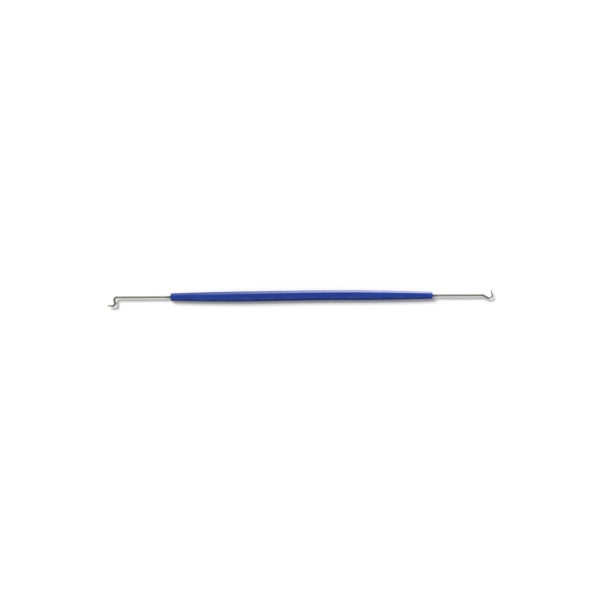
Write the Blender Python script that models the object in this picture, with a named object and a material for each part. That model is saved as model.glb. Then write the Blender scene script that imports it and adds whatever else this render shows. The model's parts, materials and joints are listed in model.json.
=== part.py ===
"""Double-ended hook scriber: two bent spring-steel wires moulded into a slim six-sided plastic handle.

Run it with blender --background --python part.py, or from Blender's text editor.

Lengths are in metres and +Z is up. The tool lies on one flat of its handle. X runs along the tool, from the
push hook to the pull hook, and both hooks bend in the horizontal plane through the handle's axis. The origin is
the middle of the flat that the tool rests on.
"""

import math

import bmesh
import bpy
from mathutils import Vector

MM = 0.001

# Handle: a six-sided bar with a straight middle, thinner towards each end.
HANDLE_LENGTH = 120.4 * MM
MIDDLE_ACROSS_CORNERS = 4.76 * MM
LEFT_END_ACROSS_CORNERS = 3.46 * MM
RIGHT_END_ACROSS_CORNERS = 3.30 * MM
STRAIGHT_FROM = -26.2 * MM
STRAIGHT_TO = 23.8 * MM
TAPER_POWER = 1.6
TAPER_STATIONS = 8
CORNER_ROUNDING = 0.25 * MM
CORNER_STEPS = 3
END_CHAMFER = 0.30 * MM

# Wire of both hooks.
WIRE_RADIUS = 0.55 * MM
WIRE_CLEARANCE = 0.05 * MM
WIRE_BEVEL_RESOLUTION = 4
BEND_STEP = math.radians(15.0)

# Tail of each wire, held in the handle by one S-shaped crimp.
TAIL_LENGTH = 22.0 * MM
CRIMP_START = -18.0 * MM
CRIMP_LENGTH = 7.0 * MM
CRIMP_HEIGHT = 0.45 * MM
CRIMP_STEPS = 14
MOUTH_OVERRUN = 1.0 * MM

# Bends of each hook, as (distance out of the handle, sideways, bend radius), from the handle to the tip.
PUSH_HOOK_CORNERS = (
    (26.36 * MM, 0.0, 1.25 * MM),
    (25.12 * MM, 3.94 * MM, 1.15 * MM),
    (29.2 * MM, 3.81 * MM, 0.0),
)
PULL_HOOK_CORNERS = (
    (23.25 * MM, 0.0, 1.50 * MM),
    (25.70 * MM, -1.37 * MM, 0.60 * MM),
    (27.65 * MM, -0.75 * MM, 0.60 * MM),
    (27.05 * MM, 2.60 * MM, 0.0),
)
PUSH_TAPER_LENGTH = 2.2 * MM
PUSH_TIP_RADIUS = 0.32 * MM
PULL_TAPER_LENGTH = 6.3 * MM
PULL_TIP_RADIUS = 0.22 * MM
TIP_ROUNDING_STEPS = 3

WELD_DISTANCE = 0.001 * MM
SHARP_ANGLE = math.radians(40.0)

# Looks: linear colour, roughness, metallic.
BLUE_PLASTIC = ((0.023, 0.056, 0.292, 1.0), 0.30, 0.0)
SPRING_STEEL = ((0.56, 0.54, 0.51, 1.0), 0.22, 1.0)

HEXAGON_SIDES = 6
COS_30 = math.cos(math.radians(30.0))
MIDDLE_CORNER_RADIUS = MIDDLE_ACROSS_CORNERS / 2.0
AXIS_HEIGHT = MIDDLE_CORNER_RADIUS * COS_30


def clear_scene():
    for old in list(bpy.data.objects):
        bpy.data.objects.remove(old)


def new_collection(name):
    collection = bpy.data.collections.new(name)
    bpy.context.scene.collection.children.link(collection)
    return collection


def new_material(name, look):
    colour, roughness, metallic = look
    material = bpy.data.materials.new(name)
    material.use_nodes = True
    shader = material.node_tree.nodes["Principled BSDF"]
    shader.inputs["Base Color"].default_value = colour
    shader.inputs["Roughness"].default_value = roughness
    shader.inputs["Metallic"].default_value = metallic
    return material


def new_curve(name, points, radii, closed=False):
    """A POLY curve through the points, with one bevel radius factor for each."""
    curve = bpy.data.curves.new(name, "CURVE")
    curve.dimensions = "3D"
    curve.twist_mode = "Z_UP"
    spline = curve.splines.new("POLY")
    spline.points.add(len(points) - 1)
    spline.use_cyclic_u = closed
    for spline_point, position, radius in zip(spline.points, points, radii):
        spline_point.co = (*position, 1.0)
        spline_point.radius = radius
    return curve


def solid_from_curve(name, curve, collection):
    """Replaces a bevelled curve by a closed mesh object of the same shape, with its caps welded on."""
    curve_object = bpy.data.objects.new(name + "_curve", curve)
    collection.objects.link(curve_object)
    depsgraph = bpy.context.evaluated_depsgraph_get()
    mesh = bpy.data.meshes.new_from_object(curve_object.evaluated_get(depsgraph))
    solid = bpy.data.objects.new(name, mesh)
    solid.matrix_world = curve_object.matrix_world
    collection.objects.link(solid)
    bpy.data.objects.remove(curve_object)
    bpy.data.curves.remove(curve)

    cage = bmesh.new()
    cage.from_mesh(mesh)
    bmesh.ops.remove_doubles(cage, verts=cage.verts, dist=WELD_DISTANCE)
    bmesh.ops.recalc_face_normals(cage, faces=cage.faces)
    cage.to_mesh(mesh)
    cage.free()
    mesh.name = name
    return solid


def finish_part(part, material, frame):
    """Gives a part its material, smooth shading with crisp edges, and its place under the tool's frame."""
    part.data.materials.clear()
    part.data.materials.append(material)
    part.data.shade_smooth()
    part.data.set_sharp_from_angle(angle=SHARP_ANGLE)
    part.parent = frame


def hexagon_outline():
    """Corner-rounded hexagon at the handle's middle size, with a flat at the top and at the bottom."""
    points = []
    centre_distance = MIDDLE_CORNER_RADIUS - CORNER_ROUNDING / COS_30
    half_arc = math.pi / HEXAGON_SIDES
    for side in range(HEXAGON_SIDES):
        corner_angle = side * 2.0 * half_arc
        centre_x = centre_distance * math.cos(corner_angle)
        centre_y = centre_distance * math.sin(corner_angle)
        for step in range(CORNER_STEPS):
            angle = corner_angle - half_arc + 2.0 * half_arc * step / (CORNER_STEPS - 1)
            x = centre_x + CORNER_ROUNDING * math.cos(angle)
            y = centre_y + CORNER_ROUNDING * math.sin(angle)
            points.append((x, y, 0.0))
    return points


def across_corners(x):
    """Width of the handle at distance x from its middle."""
    half_length = HANDLE_LENGTH / 2.0
    if x < STRAIGHT_FROM:
        along = (STRAIGHT_FROM - x) / (STRAIGHT_FROM + half_length)
        end_width = LEFT_END_ACROSS_CORNERS
    elif x > STRAIGHT_TO:
        along = (x - STRAIGHT_TO) / (half_length - STRAIGHT_TO)
        end_width = RIGHT_END_ACROSS_CORNERS
    else:
        return MIDDLE_ACROSS_CORNERS
    return MIDDLE_ACROSS_CORNERS - (MIDDLE_ACROSS_CORNERS - end_width) * along**TAPER_POWER


def handle_stations():
    """Places along the handle with their size factors: both chamfered ends, the tapers and the straight middle."""
    half_length = HANDLE_LENGTH / 2.0
    left_shoulder = -half_length + END_CHAMFER
    right_shoulder = half_length - END_CHAMFER
    shares = [step / TAPER_STATIONS for step in range(TAPER_STATIONS + 1)]
    places = [left_shoulder + (STRAIGHT_FROM - left_shoulder) * share for share in shares]
    places += [STRAIGHT_TO + (right_shoulder - STRAIGHT_TO) * share for share in shares]
    stations = [(x, across_corners(x) / MIDDLE_ACROSS_CORNERS) for x in places]

    chamfer_factor = END_CHAMFER / MIDDLE_CORNER_RADIUS
    first_factor = stations[0][1] - chamfer_factor
    last_factor = stations[-1][1] - chamfer_factor
    return [(-half_length, first_factor), *stations, (half_length, last_factor)]


def make_handle(material, frame, parts, cutters):
    outline = hexagon_outline()
    profile_curve = new_curve("hexagon_profile", outline, [1.0] * len(outline), closed=True)
    profile_curve.dimensions = "2D"
    profile = bpy.data.objects.new("hexagon_profile", profile_curve)
    cutters.objects.link(profile)

    stations = handle_stations()
    points = [(x, 0.0, 0.0) for x, _ in stations]
    curve = new_curve("handle", points, [factor for _, factor in stations])
    curve.bevel_mode = "OBJECT"
    curve.bevel_object = profile
    curve.use_fill_caps = True
    handle = solid_from_curve("handle", curve, parts)
    bpy.data.objects.remove(profile)
    bpy.data.curves.remove(profile_curve)
    finish_part(handle, material, frame)
    return handle


def crimp_points():
    """The S-shaped stretch of a wire's tail, which leaves and rejoins the straight wire without a kink."""
    points = []
    for step in range(CRIMP_STEPS + 1):
        share = step / CRIMP_STEPS
        x = CRIMP_START + CRIMP_LENGTH * share
        y = CRIMP_HEIGHT * math.sin(2.0 * math.pi * share) * math.sin(math.pi * share)
        points.append((x, y, 0.0))
    return points


def bend_points(before, corner, after, radius):
    """Points of the arc that rounds one corner of a wire's path."""
    back = (before - corner).normalized()
    forward = (after - corner).normalized()
    turn = math.pi - back.angle(forward)
    tangent_length = radius * math.tan(turn / 2.0)
    centre = corner + (back + forward).normalized() * radius / math.cos(turn / 2.0)
    start_arm = (corner + back * tangent_length - centre).normalized()
    end_arm = (corner + forward * tangent_length - centre).normalized()
    steps = max(2, math.ceil(turn / BEND_STEP))
    return [centre + radius * start_arm.slerp(end_arm, step / steps) for step in range(steps + 1)]


def hook_points(corners):
    """The wire's path from the end of its tail to its tip, along +X out of the handle."""
    places = [Vector((x, y, 0.0)) for x, y, _ in corners]
    points = [Vector((-TAIL_LENGTH, 0.0, 0.0))]
    points += [Vector(point) for point in crimp_points()]
    before = Vector((0.0, 0.0, 0.0))
    for index in range(len(corners) - 1):
        points += bend_points(before, places[index], places[index + 1], corners[index][2])
        before = places[index]
    points.append(places[-1])
    return points


def with_round_tip(points, tip_radius):
    """Adds the points on which the last stretch of a wire closes to a rounded end."""
    tip = points[-1]
    back = (points[-2] - tip).normalized()
    rounded = []
    for step in range(TIP_ROUNDING_STEPS):
        angle = math.pi / 2.0 * step / TIP_ROUNDING_STEPS
        rounded.append(tip + back * tip_radius * (1.0 - math.sin(angle)))
    return points[:-1] + rounded


def hook_radii(points, tip, taper_length, tip_radius):
    """The wire's radius at each point: full up to the taper, then thinner, then round at the tip."""
    radii = []
    distance = (tip - points[-1]).length
    previous = points[-1]
    for point in reversed(points):
        distance += (point - previous).length
        previous = point
        share = min(1.0, distance / taper_length)
        radius = tip_radius + (WIRE_RADIUS - tip_radius) * share
        if distance < tip_radius:
            radius = tip_radius * math.sqrt(1.0 - (1.0 - distance / tip_radius) ** 2)
        radii.append(radius)
    return radii[::-1]


def wire_curve(name, points, radii):
    curve = new_curve(name, points, [radius / WIRE_RADIUS for radius in radii])
    curve.bevel_depth = WIRE_RADIUS
    curve.bevel_resolution = WIRE_BEVEL_RESOLUTION
    curve.use_fill_caps = True
    return curve


def make_hook(name, corners, taper, placing, material, frame, parts):
    taper_length, tip_radius = taper
    path = hook_points(corners)
    points = with_round_tip(path, tip_radius)
    radii = hook_radii(points, path[-1], taper_length, tip_radius)
    hook = solid_from_curve(name, wire_curve(name, points, radii), parts)
    finish_part(hook, material, frame)
    hook.location, hook.rotation_euler = placing
    return hook


def cut_wire_socket(handle, name, placing, frame, cutters):
    """Cuts the blind hole that the moulding leaves round one wire's tail."""
    points = [(-TAIL_LENGTH - WIRE_CLEARANCE, 0.0, 0.0)]
    points += crimp_points()
    points.append((MOUTH_OVERRUN, 0.0, 0.0))
    radii = [WIRE_RADIUS + WIRE_CLEARANCE] * len(points)
    cutter = solid_from_curve(name, wire_curve(name, points, radii), cutters)
    cutter.parent = frame
    cutter.location, cutter.rotation_euler = placing
    cutter.hide_render = True
    cutter.display_type = "WIRE"

    cut = handle.modifiers.new(name, "BOOLEAN")
    cut.operation = "DIFFERENCE"
    cut.solver = "EXACT"
    cut.object = cutter


def main():
    clear_scene()
    parts = new_collection("double_ended_hook_scriber")
    cutters = new_collection("cutters")
    plastic = new_material("blue_plastic", BLUE_PLASTIC)
    push_steel = new_material("push_hook_steel", SPRING_STEEL)
    pull_steel = new_material("pull_hook_steel", SPRING_STEEL)

    frame = bpy.data.objects.new("handle_axis", None)
    frame.location = (0.0, 0.0, AXIS_HEIGHT)
    parts.objects.link(frame)

    left_end = ((-HANDLE_LENGTH / 2.0, 0.0, 0.0), (0.0, 0.0, math.pi))
    right_end = ((HANDLE_LENGTH / 2.0, 0.0, 0.0), (0.0, 0.0, 0.0))
    push_taper = (PUSH_TAPER_LENGTH, PUSH_TIP_RADIUS)
    pull_taper = (PULL_TAPER_LENGTH, PULL_TIP_RADIUS)

    handle = make_handle(plastic, frame, parts, cutters)
    cut_wire_socket(handle, "push_socket", left_end, frame, cutters)
    cut_wire_socket(handle, "pull_socket", right_end, frame, cutters)
    make_hook("push_hook", PUSH_HOOK_CORNERS, push_taper, left_end, push_steel, frame, parts)
    make_hook("pull_hook", PULL_HOOK_CORNERS, pull_taper, right_end, pull_steel, frame, parts)


main()
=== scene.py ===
"""Looks of the double-ended hook scriber: finer handle and wires, their materials, the floor and the light.

Lengths are in metres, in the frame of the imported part: X runs along the tool from the push hook to the pull
hook, +Z is up, and the tool lies on the flat at the origin.
"""

import json
import math

import bmesh
import bpy
from mathutils import Matrix, Vector, noise

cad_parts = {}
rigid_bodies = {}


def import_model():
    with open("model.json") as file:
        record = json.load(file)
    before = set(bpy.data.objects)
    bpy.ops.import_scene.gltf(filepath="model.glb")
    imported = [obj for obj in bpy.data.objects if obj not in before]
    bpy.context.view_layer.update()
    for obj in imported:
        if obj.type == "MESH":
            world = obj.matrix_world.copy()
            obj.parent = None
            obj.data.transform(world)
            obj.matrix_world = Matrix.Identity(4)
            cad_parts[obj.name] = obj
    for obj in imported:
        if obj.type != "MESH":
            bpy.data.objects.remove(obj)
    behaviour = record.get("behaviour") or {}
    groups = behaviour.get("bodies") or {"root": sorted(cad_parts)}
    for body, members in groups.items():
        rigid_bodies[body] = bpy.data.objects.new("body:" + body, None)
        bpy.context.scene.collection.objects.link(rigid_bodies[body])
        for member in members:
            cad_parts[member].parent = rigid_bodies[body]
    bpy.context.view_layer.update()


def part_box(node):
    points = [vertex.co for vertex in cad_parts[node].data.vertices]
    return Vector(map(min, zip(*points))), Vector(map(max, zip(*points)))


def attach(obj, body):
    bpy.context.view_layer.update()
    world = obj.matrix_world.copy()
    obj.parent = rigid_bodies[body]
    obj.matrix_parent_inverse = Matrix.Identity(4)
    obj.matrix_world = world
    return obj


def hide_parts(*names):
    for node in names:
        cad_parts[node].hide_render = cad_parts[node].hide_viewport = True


MM = 0.001

# Handle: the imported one's shape, with rounder edges and sunken flats, and the slight bow and twist of a
# moulding. The bow ends at its reach on both sides of its centre.
HEXAGON_SIDES = 6
STRAIGHT_FROM = -26.2 * MM
STRAIGHT_TO = 23.8 * MM
MIDDLE_ACROSS_CORNERS = 4.76 * MM
LEFT_END_ACROSS_CORNERS = 3.46 * MM
RIGHT_END_ACROSS_CORNERS = 3.30 * MM
TAPER_POWER = 1.6
CORNER_ROUNDING = 0.25 * MM
END_ROUNDING = 0.32 * MM
END_ROUNDING_STEPS = 5
RING_SPACING = 0.75 * MM
CORNER_SEGMENTS = 6
FLAT_SEGMENTS = 8
FLAT_SINK = 0.03 * MM
EDGE_FALLOFF = 3
BOW_HEIGHT = 0.42 * MM
BOW_CENTRE = 16.0 * MM
BOW_REACH = 58.0 * MM
TWIST = math.radians(-2.8)
TWIST_FROM = -35.0 * MM
TWIST_TO = 10.0 * MM
PARTED_CORNERS = (0, 3)
PARTING_RIDGE = 0.025 * MM
UNEVENNESS = 0.012 * MM
UNEVENNESS_SCALE = Vector((90.0, 380.0, 380.0))

# Mouth of each wire's socket: a shallow dish in the end face, with a low rounded lip round the wire. The
# rim share is the height of the lip's inner rim against its crest.
FACE_RINGS = 4
FACE_DISH = 0.06 * MM
LIP_RADIUS = 0.95 * MM
LIP_HEIGHT = 0.20 * MM
LIP_STEPS = 6
LIP_RIM_SHARE = math.cos(math.radians(30.0))
SOCKET_CLEARANCE = 0.01 * MM

# Wires: tail with one crimp in the handle, then the bends, as (distance out, sideways, bend radius).
TAIL_LENGTH = 22.0 * MM
CRIMP_START = -18.0 * MM
CRIMP_LENGTH = 7.0 * MM
CRIMP_HEIGHT = 0.45 * MM
CRIMP_STEPS = 28
PUSH_HOOK_CORNERS = (
    (26.36 * MM, 0.0, 1.25 * MM),
    (25.12 * MM, 3.94 * MM, 1.15 * MM),
    (29.2 * MM, 3.81 * MM, 0.0),
)
PULL_HOOK_CORNERS = (
    (23.25 * MM, 0.0, 1.50 * MM),
    (25.70 * MM, -1.37 * MM, 0.60 * MM),
    (27.65 * MM, -0.75 * MM, 0.60 * MM),
    (27.05 * MM, 2.60 * MM, 0.0),
)
PUSH_TAPER = (2.2 * MM, 0.32 * MM)
PULL_TAPER = (6.3 * MM, 0.22 * MM)
BEND_STEP = math.radians(5.0)
WIRE_SIDES = 28
WIRE_STEP = 0.5 * MM
TIP_STEPS = 8
FULL_BEND = math.radians(18.0)
BEND_WINDOW = 2

# Camera: straight above the tool, turned a little, so that the tool climbs slightly to the right.
CAMERA_LENS = 100.0
CAMERA_SENSOR = 36.0
CAMERA_FRAME_WIDTH = 276.0 * MM
CAMERA_ROLL = math.radians(-0.35)
CAMERA_CENTRE = (-0.7 * MM, -1.7 * MM)
CAMERA_CLIP_RATIO = 100.0

# Light: a broad key from the far left, a weak fill from the near side, and a sky that is dark overhead,
# with a softbox for the gloss.
KEY_DIRECTION = (-0.59, 0.67, 1.00)
KEY_STRENGTH = 3.3
KEY_ANGLE = math.radians(27.0)
FILL_DIRECTION = (0.30, -0.65, 0.70)
FILL_STRENGTH = 0.35
FILL_ANGLE = math.radians(60.0)
SKY_ZENITH = 0.24
SKY_HORIZON = 0.75
SKY_HEIGHTS = (0.0, 0.85)
SOFTBOX_DIRECTION = (-0.20, 0.72, 0.66)
SOFTBOX_STRETCH = (0.55, 1.0, 1.0)
SOFTBOX_EDGE = (0.20, 0.42)
SOFTBOX_LIGHT = 1.3
FLOOR_SIZE = 6.0
FLOOR_DROP = 0.055 * MM
FLOOR_COLOUR = (0.92, 0.92, 0.92)
FLOOR_ROUGHNESS = 0.9

# Card that only reflections see, just under the floor.
CARD_LENGTH = 122.0 * MM
CARD_WIDTH = 160.0 * MM
CARD_DROP = 0.08 * MM
CARD_EDGE = (0.49, 0.51)
CARD_RAMP = (-0.08, 0.95)
CARD_LEFT_LIGHT = 0.45
CARD_RIGHT_LIGHT = 4.6
CARD_DARK = 0.12

# Plastic. Colours are linear. A noise pattern is its repeats per metre along X, Y and Z, its detail and
# its roughness. Limits are the values between which an effect sets in, and a share is how much of it is
# mixed in.
PLASTIC_DEEP = (0.0066, 0.0265, 0.192)
PLASTIC_LIGHT = (0.0106, 0.0385, 0.252)
PLASTIC_STREAK = (0.0130, 0.0460, 0.280)
# Colour of the scratches, and of the pale edges, where it is partly wear and partly a painted highlight.
PLASTIC_SCUFFED_AND_SHEEN = (0.085, 0.135, 0.40)
PLASTIC_CLOUDS = ((55.0, 160.0, 160.0), 3.0, 0.5)
PLASTIC_FLOW = ((45.0, 1100.0, 1100.0), 4.0, 0.5)
PLASTIC_GRAIN = ((3200.0, 3200.0, 3200.0), 3.0, 0.6)
PLASTIC_PATCHES = ((130.0, 420.0, 420.0), 4.0, 0.6)
PLASTIC_FLOW_DEPTH = 0.010 * MM
PLASTIC_GRAIN_DEPTH = 0.004 * MM
PLASTIC_ROUGHNESS = (0.20, 0.32)
PLASTIC_ROUGHNESS_LIMITS = (0.3, 0.7)
STREAK_LIMITS = (0.52, 0.70)
STREAK_SHARE = 0.25

# Scratches: the noise that they follow, its turn about Z, and the half width of a line in noise values.
SCRATCHES_ALONG = ((110.0, 2600.0, 2600.0), 2.0, 0.5)
SCRATCHES_ALONG_TURN = 0.06
SCRATCHES_ALONG_WIDTH = 0.012
SCRATCHES_ACROSS = ((260.0, 3600.0, 1500.0), 2.0, 0.5)
SCRATCHES_ACROSS_TURN = 0.9
SCRATCHES_ACROSS_WIDTH = 0.010
SCRATCHED_LIMITS = (0.42, 0.62)
SCRATCH_SHARE = 0.16
SCRATCH_ROUGHNESS = 0.12
SCRATCH_DEPTH = 0.006 * MM
# Pale edges and end roundings: partly wear, partly a painted highlight.
EDGE_WEAR_AND_HIGHLIGHT_LIMITS = (0.86, 1.16)
EDGE_WEAR_AND_HIGHLIGHT_SHARE = 0.38
EDGE_WEAR_ROUGHNESS = 0.18

# Steel: the repeats are per metre along the wire, and per wire radius round it.
STEEL_DARK = (0.34, 0.33, 0.30)
STEEL_LIGHT = (0.66, 0.64, 0.57)
STEEL_WARM = (0.46, 0.42, 0.34)
STEEL_GROUND = (0.68, 0.67, 0.64)
# Painted shade in the bends.
STEEL_BEND_SHADE = (0.26, 0.24, 0.205)
# Painted shade on the wire next to the handle, tinted by a painted reflection of the blue handle.
STEEL_HANDLE_SHADE = (0.16, 0.17, 0.20)
STEEL_SPECK = (0.13, 0.09, 0.06)
STEEL_DIE_LINES = ((45.0, 6.0, 6.0), 3.0, 0.6)
STEEL_PATCHES = ((330.0, 1.3, 1.3), 4.0, 0.6)
STEEL_GRINDING = ((9000.0, 1.5, 1.5), 2.0, 0.5)
STEEL_SPECKLE = ((9000.0, 5.0, 5.0), 1.0, 0.5)
STEEL_ROUGHNESS = (0.26, 0.40)
DULLED_ROUGHNESS = 0.08
DIE_LINE_LIMITS = (0.3, 0.7)
DIE_LINE_DEPTH = 0.006 * MM
WARM_LIMITS = (0.45, 0.75)
WARM_SHARE = 0.5
GROUND_LIMITS = (0.0, 0.35)
GROUND_SHARE = 0.6
GRINDING_DEPTH = 0.008 * MM
# Painted shade in the bends, strongest where the wire turns most.
BEND_SHADE_LIMITS = (0.15, 0.75)
BEND_SHADE_SHARE = 0.5
# Painted shade and reflection of the handle on the wire just outside the handle.
HANDLE_SHADE_LENGTH = 3.4 * MM
HANDLE_SHADE_SOLID_LENGTH = 0.51 * MM
HANDLE_SHADE_SHARE = 0.8
SPECK_LIMITS = (0.71, 0.77)
SPECK_SHARE = 0.6
SPECK_DEPTH = 0.006 * MM

NOISE_MIDDLE = 0.5
SIDEWAYS = Vector((0.0, 1.0, 0.0))
UP = Vector((0.0, 0.0, 1.0))


def remove_default_objects():
    for old in list(bpy.data.objects):
        bpy.data.objects.remove(old)


# ---------------------------------------------------------------- mesh helpers


def skin_rings(name, rings):
    """A closed mesh through rings of equal vertex count, with a cap on the first and on the last."""
    skin = bmesh.new()
    rows = [[skin.verts.new(point) for point in ring] for ring in rings]
    count = len(rows[0])
    for row, following in zip(rows, rows[1:]):
        for index in range(count):
            beside = (index + 1) % count
            skin.faces.new((row[index], row[beside], following[beside], following[index]))
    skin.faces.new(rows[0])
    skin.faces.new(rows[-1])
    bmesh.ops.recalc_face_normals(skin, faces=skin.faces)
    mesh = bpy.data.meshes.new(name)
    skin.to_mesh(mesh)
    skin.free()
    mesh.shade_smooth()
    piece = bpy.data.objects.new(name, mesh)
    bpy.context.scene.collection.objects.link(piece)
    return piece


def store_attribute(piece, name, values):
    stored = piece.data.attributes.new(name, "FLOAT", "POINT")
    stored.data.foreach_set("value", values)


def circle_ring(centre, side, up, radius, angles):
    return [centre + radius * (side * math.cos(angle) + up * math.sin(angle)) for angle in angles]


# ---------------------------------------------------------------- wires


def crimp_points():
    """The S-shaped stretch of a wire's tail, which leaves and rejoins the straight wire without a kink."""
    points = []
    for step in range(CRIMP_STEPS + 1):
        share = step / CRIMP_STEPS
        sideways = CRIMP_HEIGHT * math.sin(2.0 * math.pi * share) * math.sin(math.pi * share)
        points.append(Vector((CRIMP_START + CRIMP_LENGTH * share, sideways, 0.0)))
    return points


def bend_points(before, corner, after, radius):
    """Points of the arc that rounds one corner of a wire's path."""
    back = (before - corner).normalized()
    forward = (after - corner).normalized()
    turn = math.pi - back.angle(forward)
    tangent_length = radius * math.tan(turn / 2.0)
    centre = corner + (back + forward).normalized() * radius / math.cos(turn / 2.0)
    start_arm = (corner + back * tangent_length - centre).normalized()
    end_arm = (corner + forward * tangent_length - centre).normalized()
    steps = math.ceil(turn / BEND_STEP)
    return [centre + radius * start_arm.slerp(end_arm, step / steps) for step in range(steps + 1)]


def filled_in(points, longest_step):
    """The same path with extra points, so that no stretch is longer than longest_step."""
    path = [points[0]]
    for start, end in zip(points, points[1:]):
        steps = max(1, math.ceil((end - start).length / longest_step))
        path += [start.lerp(end, step / steps) for step in range(1, steps + 1)]
    return path


def hook_path(corners, tip_radius):
    """Centre line of a wire along +X out of the handle, from its tail to its rounded tip."""
    places = [Vector((x, y, 0.0)) for x, y, _ in corners]
    points = [Vector((-TAIL_LENGTH, 0.0, 0.0)), *crimp_points()]
    before = Vector((0.0, 0.0, 0.0))
    for index in range(len(corners) - 1):
        points += bend_points(before, places[index], places[index + 1], corners[index][2])
        before = places[index]
    tip = places[-1]
    back = (points[-1] - tip).normalized()
    points.append(tip + back * tip_radius)
    path = filled_in(points, WIRE_STEP)
    for step in range(1, TIP_STEPS):
        path.append(tip + back * tip_radius * (1.0 - math.sin(math.pi / 2.0 * step / TIP_STEPS)))
    return path


def lengths_to_end(path, tip):
    """Distance from each point of the path to the wire's tip, along the path."""
    distances = [(tip - path[-1]).length]
    for point, following in zip(path[-2::-1], path[:0:-1]):
        distances.append(distances[-1] + (following - point).length)
    return distances[::-1]


def wire_radius_at(distance, full_radius, taper_length, tip_radius):
    """Radius of a wire at a distance from its tip: round at the tip, then tapered, then full."""
    if distance < tip_radius:
        return tip_radius * math.sqrt(1.0 - (1.0 - distance / tip_radius) ** 2)
    share = min(1.0, distance / taper_length)
    return tip_radius + (full_radius - tip_radius) * share


def path_tangents(path):
    tangents = []
    for index in range(len(path)):
        before = path[max(0, index - 1)]
        after = path[min(len(path) - 1, index + 1)]
        tangents.append((after - before).normalized())
    return tangents


def make_wire(name, corners, taper, full_radius, place, material):
    """A bent wire, with its own coordinates and its worked places stored for the steel's nodes."""
    taper_length, tip_radius = taper
    path = hook_path(corners, tip_radius)
    tip = Vector((corners[-1][0], corners[-1][1], 0.0))
    distances = lengths_to_end(path, tip)
    tangents = path_tangents(path)
    angles = [2.0 * math.pi * side / WIRE_SIDES for side in range(WIRE_SIDES)]

    rings, along, bent, ground = [], [], [], []
    for index, (point, tangent) in enumerate(zip(path, tangents)):
        radius = wire_radius_at(distances[index], full_radius, taper_length, tip_radius)
        rings.append(circle_ring(point, tangent.cross(UP), UP, radius, angles))
        before = tangents[max(0, index - BEND_WINDOW)]
        after = tangents[min(len(path) - 1, index + BEND_WINDOW)]
        along.append(distances[0] - distances[index] - TAIL_LENGTH)
        bent.append(min(1.0, before.angle(after) / FULL_BEND))
        ground.append(max(0.0, 1.0 - distances[index] / taper_length))

    wire = skin_rings(name, rings)
    for attribute_name, values in (("along", along), ("bent", bent), ("ground", ground)):
        store_attribute(wire, attribute_name, [value for value in values for _ in angles])
    store_attribute(wire, "across", [math.cos(angle) for angle in angles] * len(rings))
    store_attribute(wire, "lift", [math.sin(angle) for angle in angles] * len(rings))
    wire.data.transform(place)
    wire.data.materials.append(material)
    return wire


# ---------------------------------------------------------------- handle


def across_corners(x, half_length):
    """Width of the handle at distance x from its middle."""
    if x < STRAIGHT_FROM:
        along = (STRAIGHT_FROM - x) / (STRAIGHT_FROM + half_length)
        end_width = LEFT_END_ACROSS_CORNERS
    elif x > STRAIGHT_TO:
        along = (x - STRAIGHT_TO) / (half_length - STRAIGHT_TO)
        end_width = RIGHT_END_ACROSS_CORNERS
    else:
        return MIDDLE_ACROSS_CORNERS
    return MIDDLE_ACROSS_CORNERS - (MIDDLE_ACROSS_CORNERS - end_width) * along**TAPER_POWER


def corner_points(side, rounding, ridge):
    """The rounded corner of one side of the unit hexagon, with the moulding line's ridge in its middle."""
    half_arc = math.pi / HEXAGON_SIDES
    corner_angle = side * 2.0 * half_arc
    centre_distance = 1.0 - rounding / math.cos(half_arc)
    centre = centre_distance * Vector((math.cos(corner_angle), math.sin(corner_angle)))
    points = []
    for step in range(CORNER_SEGMENTS + 1):
        angle = corner_angle + half_arc * (2.0 * step / CORNER_SEGMENTS - 1.0)
        reach = rounding
        if side in PARTED_CORNERS and step == CORNER_SEGMENTS // 2:
            reach += ridge
        points.append(centre + reach * Vector((math.cos(angle), math.sin(angle))))
    return points


def flat_points(flat_start, flat_end, normal, sink):
    """The sunken flat between two corners, as (point, closeness to an edge)."""
    points = []
    for step in range(1, FLAT_SEGMENTS):
        share = step / FLAT_SEGMENTS
        dip = sink * math.sin(math.pi * share) ** 2
        near_edge = abs(2.0 * share - 1.0) ** EDGE_FALLOFF
        points.append((flat_start.lerp(flat_end, share) - normal * dip, near_edge))
    return points


def hexagon_outline():
    """Outline of the section as (y, z, closeness to an edge), one unit from its centre to a corner."""
    unit = MIDDLE_ACROSS_CORNERS / 2.0
    corners = []
    for side in range(HEXAGON_SIDES):
        corners.append(corner_points(side, CORNER_ROUNDING / unit, PARTING_RIDGE / unit))
    outline = []
    for side, corner in enumerate(corners):
        normal_angle = math.pi / HEXAGON_SIDES * (2 * side + 1)
        normal = Vector((math.cos(normal_angle), math.sin(normal_angle)))
        next_corner = corners[(side + 1) % HEXAGON_SIDES]
        outline += [(point.x, point.y, 1.0) for point in corner]
        for point, near_edge in flat_points(corner[-1], next_corner[0], normal, FLAT_SINK / unit):
            outline.append((point.x, point.y, near_edge))
    return outline


def bow_at(x):
    """How far the handle's centre line is off to the side at x."""
    away = abs(x - BOW_CENTRE) / BOW_REACH
    return BOW_HEIGHT * math.cos(math.pi / 2.0 * min(1.0, away)) ** 2


def twist_at(x):
    """The turn of the section about the handle's axis at x, a smooth step from none to the full twist."""
    share = max(0.0, min(1.0, (x - TWIST_FROM) / (TWIST_TO - TWIST_FROM)))
    return TWIST * share * share * (3.0 - 2.0 * share)


def body_stations(half_length):
    """Places along the outside, as (x, drop of the corners), from the left end face to the right one."""
    body_from = -half_length + END_ROUNDING
    body_to = half_length - END_ROUNDING
    steps = round((body_to - body_from) / RING_SPACING)
    rounding = []
    for step in range(1, END_ROUNDING_STEPS + 1):
        angle = math.pi / 2.0 * step / END_ROUNDING_STEPS
        rounding.append((END_ROUNDING * math.sin(angle), END_ROUNDING * (1.0 - math.cos(angle))))
    stations = [(body_from - out, drop) for out, drop in reversed(rounding)]
    stations += [(body_from + (body_to - body_from) * step / steps, 0.0) for step in range(steps + 1)]
    stations += [(body_to + out, drop) for out, drop in rounding]
    return stations


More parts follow.
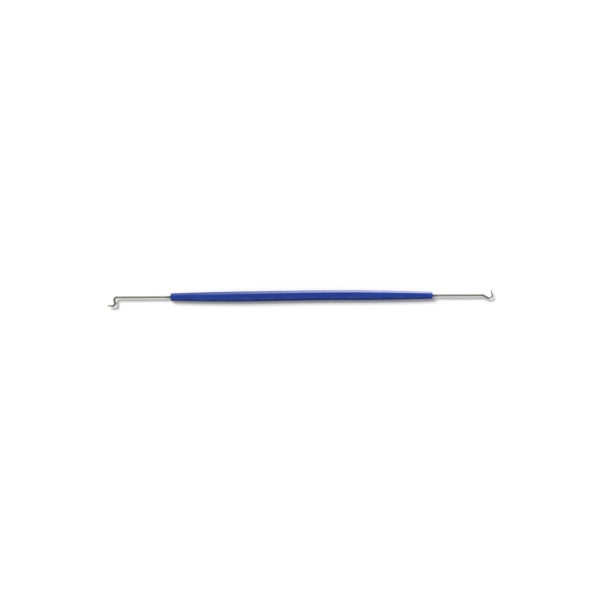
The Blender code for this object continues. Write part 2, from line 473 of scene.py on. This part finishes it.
def body_ring(outline, x, drop, half_length, axis_height):
    """One six-sided ring of the outside, slightly uneven, with the closeness of its points to an edge."""
    inside = half_length - END_ROUNDING
    corner_radius = across_corners(max(-inside, min(inside, x)), half_length) / 2.0 - drop
    centre = Vector((x, bow_at(x), axis_height))
    twist = Matrix.Rotation(twist_at(x), 3, "X")
    ring = []
    edge = []
    for y, z, near_edge in outline:
        outward = twist @ Vector((0.0, y, z))
        place = Vector((x, y * corner_radius, z * corner_radius))
        unevenness = UNEVENNESS * noise.noise(place * UNEVENNESS_SCALE)
        ring.append(centre + outward * (corner_radius + unevenness))
        edge.append(max(near_edge, drop / END_ROUNDING))
    return ring, edge


def mouth_rings(face_ring, centre, outwards, angles, bore_radius):
    """Rings from an end face's edge to its socket: a shallow dish, then a round lip against the wire."""
    lip_base = circle_ring(centre, SIDEWAYS, UP, LIP_RADIUS, angles)
    rings = []
    for step in range(1, FACE_RINGS + 1):
        share = step / FACE_RINGS
        dish = outwards * (-FACE_DISH * math.sin(math.pi * share))
        rings.append([outer.lerp(inner, share) + dish for outer, inner in zip(face_ring, lip_base)])

    heights = [math.sin(math.pi / 2.0 * step / (LIP_STEPS - 1)) for step in range(1, LIP_STEPS)]
    heights.append(LIP_RIM_SHARE)
    for step, height in enumerate(heights, start=1):
        radius = LIP_RADIUS + (bore_radius - LIP_RADIUS) * step / LIP_STEPS
        crest = centre + outwards * LIP_HEIGHT * height
        rings.append(circle_ring(crest, SIDEWAYS, UP, radius, angles))
    return rings


def socket_rings(place, angles, bore_radius):
    """Rings of the blind hole, from its mouth to its end, round the wire's tail and its crimp."""
    tail = [Vector((-TAIL_LENGTH - SOCKET_CLEARANCE, 0.0, 0.0)), *crimp_points(), Vector((0.0, 0.0, 0.0))]
    path = filled_in(tail, WIRE_STEP)
    rings = []
    for point, tangent in zip(reversed(path), reversed(path_tangents(path))):
        direction = place.to_3x3() @ tangent
        side = Vector((-direction.y, direction.x, 0.0))
        if side.y < 0.0:
            side = -side
        rings.append(circle_ring(place @ point, side, UP, bore_radius, angles))
    return rings


def make_handle(material, half_length, axis_height, wire_radius, places):
    """The moulding as one closed skin: left socket, left mouth, outside, right mouth and right socket."""
    outline = hexagon_outline()
    angles = [math.atan2(z, y) for y, z, _ in outline]
    bore_radius = wire_radius + SOCKET_CLEARANCE

    outside = []
    outside_edges = []
    for x, drop in body_stations(half_length):
        ring, edge = body_ring(outline, x, drop, half_length, axis_height)
        outside.append(ring)
        outside_edges += edge

    insides = []
    for face_ring, place in zip((outside[0], outside[-1]), places):
        outwards = place.to_3x3() @ Vector((1.0, 0.0, 0.0))
        inside = mouth_rings(face_ring, place.translation, outwards, angles, bore_radius)
        insides.append(inside + socket_rings(place, angles, bore_radius))
    left_inside, right_inside = insides

    handle = skin_rings("handle_moulding", left_inside[::-1] + outside + right_inside)
    left_edges, right_edges = [[0.0] * len(outline) * len(inside) for inside in insides]
    store_attribute(handle, "edge", left_edges + outside_edges + right_edges)
    handle.data.materials.append(material)
    return handle


# ---------------------------------------------------------------- materials


def map_range(tree, source, source_range, target_range):
    """A smooth step of the source value between two limits."""
    node = tree.nodes.new("ShaderNodeMapRange")
    node.interpolation_type = "SMOOTHSTEP"
    node.inputs["From Min"].default_value, node.inputs["From Max"].default_value = source_range
    node.inputs["To Min"].default_value, node.inputs["To Max"].default_value = target_range
    tree.links.new(source, node.inputs["Value"])
    return node.outputs["Result"]


def combine(tree, operation, first, second=0.0):
    """A Math node on two values, each of them a socket or a number."""
    node = tree.nodes.new("ShaderNodeMath")
    node.operation = operation
    for socket, value in zip(node.inputs, (first, second)):
        if isinstance(value, bpy.types.NodeSocket):
            tree.links.new(value, socket)
        else:
            socket.default_value = value
    return node.outputs["Value"]


def attribute(tree, name):
    node = tree.nodes.new("ShaderNodeAttribute")
    node.attribute_name = name
    return node.outputs["Fac"]


def object_coordinates(tree):
    return tree.nodes.new("ShaderNodeTexCoord").outputs["Object"]


def vector_math(tree, operation, vector, constant=(0.0, 0.0, 0.0)):
    node = tree.nodes.new("ShaderNodeVectorMath")
    node.operation = operation
    node.inputs[1].default_value = constant
    tree.links.new(vector, node.inputs[0])
    return node


def turned(tree, vector, turn):
    """The coordinates turned about Z."""
    node = tree.nodes.new("ShaderNodeMapping")
    node.vector_type = "POINT"
    node.inputs["Rotation"].default_value = (0.0, 0.0, turn)
    tree.links.new(vector, node.inputs["Vector"])
    return node.outputs["Vector"]


def stretched(tree, vector, repeats):
    return vector_math(tree, "MULTIPLY", vector, repeats).outputs["Vector"]


def noise_value(tree, vector, pattern):
    """Noise between 0 and 1, from a pattern of repeats, detail and roughness."""
    repeats, detail, roughness = pattern
    node = tree.nodes.new("ShaderNodeTexNoise")
    node.inputs["Scale"].default_value = 1.0
    node.inputs["Detail"].default_value = detail
    node.inputs["Roughness"].default_value = roughness
    tree.links.new(stretched(tree, vector, repeats), node.inputs["Vector"])
    return node.outputs["Fac"]


def around_zero(tree, noise_socket):
    return combine(tree, "SUBTRACT", noise_socket, NOISE_MIDDLE)


def thin_lines(tree, vector, pattern, width):
    """Thin wandering lines, where a noise passes through its middle value."""
    offset = around_zero(tree, noise_value(tree, vector, pattern))
    return map_range(tree, combine(tree, "ABSOLUTE", offset), (0.0, width), (1.0, 0.0))


def reduced(tree, value, share):
    return combine(tree, "MULTIPLY", value, share)


def mixed(tree, factor, first, second):
    """A colour mix, where each colour is a socket or three linear numbers."""
    node = tree.nodes.new("ShaderNodeMix")
    node.data_type = "RGBA"
    tree.links.new(factor, node.inputs["Factor"])
    for name, colour in (("A", first), ("B", second)):
        socket = next(item for item in node.inputs if item.name == name and item.type == "RGBA")
        if isinstance(colour, bpy.types.NodeSocket):
            tree.links.new(colour, socket)
        else:
            socket.default_value = (*colour, 1.0)
    return next(item for item in node.outputs if item.type == "RGBA")


def bumped(tree, height, depth, below=None):
    """A bump of the given depth in metres, on top of the one below."""
    node = tree.nodes.new("ShaderNodeBump")
    node.inputs["Distance"].default_value = depth
    tree.links.new(height, node.inputs["Height"])
    if below is not None:
        tree.links.new(below, node.inputs["Normal"])
    return node.outputs["Normal"]


def new_tree(name):
    material = bpy.data.materials.new(name)
    material.use_nodes = True
    tree = material.node_tree
    return material, tree, tree.nodes["Principled BSDF"]


def handling_scratches(tree, place, patches):
    """Long and crossing scratches, where the plastic has been handled most."""
    handled = map_range(tree, patches, SCRATCHED_LIMITS, (0.0, 1.0))
    along_place = turned(tree, place, SCRATCHES_ALONG_TURN)
    across_place = turned(tree, place, SCRATCHES_ACROSS_TURN)
    along = thin_lines(tree, along_place, SCRATCHES_ALONG, SCRATCHES_ALONG_WIDTH)
    across = thin_lines(tree, across_place, SCRATCHES_ACROSS, SCRATCHES_ACROSS_WIDTH)
    return combine(tree, "MULTIPLY", combine(tree, "MAXIMUM", along, across), handled)


def blue_plastic():
    """Moulded blue plastic: cloudy pigment, flow lines, fine grain, scratches, edges paled by wear and
    painted highlight.
    """
    material, tree, shader = new_tree("moulded_blue_plastic")
    place = object_coordinates(tree)
    clouds = noise_value(tree, place, PLASTIC_CLOUDS)
    flow = noise_value(tree, place, PLASTIC_FLOW)
    grain = noise_value(tree, place, PLASTIC_GRAIN)
    patches = noise_value(tree, place, PLASTIC_PATCHES)

    streaks = map_range(tree, flow, STREAK_LIMITS, (0.0, STREAK_SHARE))
    scratches = handling_scratches(tree, place, patches)
    # Paler edges and end roundings: partly wear, partly a painted highlight.
    uneven_edge = combine(tree, "ADD", attribute(tree, "edge"), around_zero(tree, patches))
    edge_wear_and_highlight = map_range(tree, uneven_edge, EDGE_WEAR_AND_HIGHLIGHT_LIMITS, (0.0, 1.0))

    colour = mixed(tree, clouds, PLASTIC_DEEP, PLASTIC_LIGHT)
    colour = mixed(tree, streaks, colour, PLASTIC_STREAK)
    colour = mixed(tree, reduced(tree, scratches, SCRATCH_SHARE), colour, PLASTIC_SCUFFED_AND_SHEEN)
    colour = mixed(tree, reduced(tree, edge_wear_and_highlight, EDGE_WEAR_AND_HIGHLIGHT_SHARE), colour, PLASTIC_SCUFFED_AND_SHEEN)
    tree.links.new(colour, shader.inputs["Base Color"])

    roughness = map_range(tree, patches, PLASTIC_ROUGHNESS_LIMITS, PLASTIC_ROUGHNESS)
    roughness = combine(tree, "ADD", roughness, reduced(tree, edge_wear_and_highlight, EDGE_WEAR_ROUGHNESS))
    roughness = combine(tree, "ADD", roughness, reduced(tree, scratches, SCRATCH_ROUGHNESS))
    tree.links.new(roughness, shader.inputs["Roughness"])

    normal = bumped(tree, flow, PLASTIC_FLOW_DEPTH)
    normal = bumped(tree, grain, PLASTIC_GRAIN_DEPTH, normal)
    normal = bumped(tree, combine(tree, "SUBTRACT", 1.0, scratches), SCRATCH_DEPTH, normal)
    tree.links.new(normal, shader.inputs["Normal"])
    return material


def wire_coordinates(tree):
    """The wire's own coordinates: metres along it, and the two sides of its round section as -1 to 1."""
    node = tree.nodes.new("ShaderNodeCombineXYZ")
    for name, socket in (("along", "X"), ("across", "Y"), ("lift", "Z")):
        tree.links.new(attribute(tree, name), node.inputs[socket])
    return node.outputs["Vector"]


def spring_steel():
    """Drawn spring steel: die lines, painted shade in the bends and by the handle (with a painted blue
    reflection), ground bright tips.
    """
    material, tree, shader = new_tree("drawn_spring_steel")
    place = wire_coordinates(tree)
    die_lines = noise_value(tree, place, STEEL_DIE_LINES)
    patches = noise_value(tree, place, STEEL_PATCHES)
    grinding = noise_value(tree, place, STEEL_GRINDING)
    speckle = noise_value(tree, place, STEEL_SPECKLE)

    blotch = around_zero(tree, patches)
    # Painted shade in the bends.
    bend_shade = map_range(tree, combine(tree, "ADD", attribute(tree, "bent"), blotch), BEND_SHADE_LIMITS, (0.0, 1.0))
    # Painted shade and blue reflection of the handle on the wire just outside it.
    handle_shade_reach = combine(tree, "ADD", attribute(tree, "along"), reduced(tree, blotch, HANDLE_SHADE_LENGTH))
    handle_shade = map_range(tree, handle_shade_reach, (HANDLE_SHADE_SOLID_LENGTH, HANDLE_SHADE_LENGTH), (1.0, 0.0))
    ground = map_range(tree, attribute(tree, "ground"), GROUND_LIMITS, (0.0, 1.0))
    specks = map_range(tree, speckle, SPECK_LIMITS, (0.0, 1.0))
    warmth = map_range(tree, patches, WARM_LIMITS, (0.0, WARM_SHARE))

    colour = mixed(tree, map_range(tree, die_lines, DIE_LINE_LIMITS, (0.0, 1.0)), STEEL_DARK, STEEL_LIGHT)
    colour = mixed(tree, warmth, colour, STEEL_WARM)
    colour = mixed(tree, reduced(tree, ground, GROUND_SHARE), colour, STEEL_GROUND)
    colour = mixed(tree, reduced(tree, bend_shade, BEND_SHADE_SHARE), colour, STEEL_BEND_SHADE)
    colour = mixed(tree, reduced(tree, handle_shade, HANDLE_SHADE_SHARE), colour, STEEL_HANDLE_SHADE)
    colour = mixed(tree, reduced(tree, specks, SPECK_SHARE), colour, STEEL_SPECK)
    tree.links.new(colour, shader.inputs["Base Color"])

    roughness = map_range(tree, die_lines, DIE_LINE_LIMITS, STEEL_ROUGHNESS)
    dulled = combine(tree, "MAXIMUM", combine(tree, "MAXIMUM", bend_shade, handle_shade), specks)
    roughness = combine(tree, "ADD", roughness, reduced(tree, dulled, DULLED_ROUGHNESS))
    tree.links.new(roughness, shader.inputs["Roughness"])

    normal = bumped(tree, die_lines, DIE_LINE_DEPTH)
    normal = bumped(tree, combine(tree, "MULTIPLY", grinding, ground), GRINDING_DEPTH, normal)
    normal = bumped(tree, combine(tree, "SUBTRACT", 1.0, specks), SPECK_DEPTH, normal)
    tree.links.new(normal, shader.inputs["Normal"])
    shader.inputs["Metallic"].default_value = 1.0
    return material


def white_paper():
    material, _, shader = new_tree("white_paper")
    shader.inputs["Base Color"].default_value = (*FLOOR_COLOUR, 1.0)
    shader.inputs["Roughness"].default_value = FLOOR_ROUGHNESS
    return material


# ---------------------------------------------------------------- setting


def make_floor():
    """White paper under the tool. Reflections see the reflector card and the studio instead of it."""
    bpy.ops.mesh.primitive_plane_add(size=FLOOR_SIZE, location=(0.0, 0.0, -FLOOR_DROP))
    floor = bpy.context.object
    floor.name = "floor"
    floor.visible_glossy = False
    floor.data.materials.append(white_paper())


def card_light():
    """Light of the reflector card: more towards its right end, and dark on its near half."""
    material, tree, shader = new_tree("reflector_card")
    tree.nodes.remove(shader)
    coordinates = tree.nodes.new("ShaderNodeTexCoord")
    separate = tree.nodes.new("ShaderNodeSeparateXYZ")
    tree.links.new(coordinates.outputs["Generated"], separate.inputs["Vector"])
    along = map_range(tree, separate.outputs["X"], CARD_RAMP, (CARD_LEFT_LIGHT, CARD_RIGHT_LIGHT))
    across = map_range(tree, separate.outputs["Y"], CARD_EDGE, (0.0, 1.0))
    strength = combine(tree, "ADD", combine(tree, "MULTIPLY", along, across), CARD_DARK)
    emission = tree.nodes.new("ShaderNodeEmission")
    tree.links.new(strength, emission.inputs["Strength"])
    tree.links.new(emission.outputs["Emission"], tree.nodes["Material Output"].inputs["Surface"])
    return material


def make_reflector():
    """A card that only reflections see, just under the floor below the tool."""
    bpy.ops.mesh.primitive_plane_add(size=1.0, location=(0.0, 0.0, -CARD_DROP))
    card = bpy.context.object
    card.name = "reflector_card"
    card.scale = (CARD_LENGTH, CARD_WIDTH, 1.0)
    card.visible_camera = False
    card.visible_diffuse = False
    card.visible_shadow = False
    card.data.materials.append(card_light())


def softbox_light(tree, direction):
    """A soft round patch of light in one direction of the sky, which only gloss shows."""
    offset = vector_math(tree, "SUBTRACT", direction, Vector(SOFTBOX_DIRECTION).normalized())
    shaped = stretched(tree, offset.outputs["Vector"], SOFTBOX_STRETCH)
    distance = vector_math(tree, "LENGTH", shaped).outputs["Value"]
    patch = map_range(tree, distance, SOFTBOX_EDGE, (SOFTBOX_LIGHT, 0.0))
    seen_in_gloss = tree.nodes.new("ShaderNodeLightPath").outputs["Is Glossy Ray"]
    return combine(tree, "MULTIPLY", patch, seen_in_gloss)


def make_sky():
    """Studio walls and ceiling: dark overhead, bright towards the horizon, with a softbox for the gloss."""
    world = bpy.data.worlds.new("studio")
    world.use_nodes = True
    tree = world.node_tree
    direction = tree.nodes.new("ShaderNodeTexCoord").outputs["Generated"]
    separate = tree.nodes.new("ShaderNodeSeparateXYZ")
    tree.links.new(direction, separate.inputs["Vector"])
    strength = map_range(tree, separate.outputs["Z"], SKY_HEIGHTS, (SKY_HORIZON, SKY_ZENITH))
    strength = combine(tree, "ADD", strength, softbox_light(tree, direction))

    background = tree.nodes["Background"]
    background.inputs["Color"].default_value = (1.0, 1.0, 1.0, 1.0)
    tree.links.new(strength, background.inputs["Strength"])
    bpy.context.scene.world = world


def make_sun(name, direction, strength, angle):
    """A soft lamp that lights and shades, but shows no hot spot in the gloss."""
    light = bpy.data.lights.new(name, "SUN")
    light.energy = strength
    light.angle = angle
    lamp = bpy.data.objects.new(name, light)
    lamp.rotation_mode = "QUATERNION"
    lamp.rotation_quaternion = Vector(direction).to_track_quat("Z", "Y")
    lamp.visible_glossy = False
    bpy.context.scene.collection.objects.link(lamp)


def make_camera(axis_height):
    """A camera that looks straight down, from where its view is as wide as CAMERA_FRAME_WIDTH."""
    data = bpy.data.cameras.new("camera")
    data.lens = CAMERA_LENS
    data.sensor_width = CAMERA_SENSOR
    distance = CAMERA_FRAME_WIDTH * CAMERA_LENS / CAMERA_SENSOR
    data.clip_start = distance / CAMERA_CLIP_RATIO
    data.clip_end = distance * CAMERA_CLIP_RATIO
    camera = bpy.data.objects.new("camera", data)
    camera.location = (CAMERA_CENTRE[0], CAMERA_CENTRE[1], axis_height + distance)
    camera.rotation_euler = (0.0, 0.0, CAMERA_ROLL)
    bpy.context.scene.collection.objects.link(camera)
    bpy.context.scene.camera = camera


def main():
    remove_default_objects()
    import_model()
    handle_low, handle_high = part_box("handle")
    wire_low, wire_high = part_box("push_hook")
    half_length = (handle_high.x - handle_low.x) / 2.0
    axis_height = (wire_low.z + wire_high.z) / 2.0
    wire_radius = (wire_high.z - wire_low.z) / 2.0

    make_camera(axis_height)
    make_sky()
    make_sun("key", KEY_DIRECTION, KEY_STRENGTH, KEY_ANGLE)
    make_sun("fill", FILL_DIRECTION, FILL_STRENGTH, FILL_ANGLE)
    make_floor()
    make_reflector()

    left_end = Matrix.Translation((-half_length, 0.0, axis_height)) @ Matrix.Rotation(math.pi, 4, "Z")
    right_end = Matrix.Translation((half_length, 0.0, axis_height))
    steel = spring_steel()
    handle = make_handle(blue_plastic(), half_length, axis_height, wire_radius, (left_end, right_end))
    push = make_wire("push_hook_wire", PUSH_HOOK_CORNERS, PUSH_TAPER, wire_radius, left_end, steel)
    pull = make_wire("pull_hook_wire", PULL_HOOK_CORNERS, PULL_TAPER, wire_radius, right_end, steel)
    for piece, node, slot in (
        (handle, "handle", "handle_plastic"),
        (push, "push_hook", "hook_steel"),
        (pull, "pull_hook", "hook_steel"),
    ):
        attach(piece, "root")
        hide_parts(node)


main()
bpy.context.scene.view_settings.view_transform = "Standard"
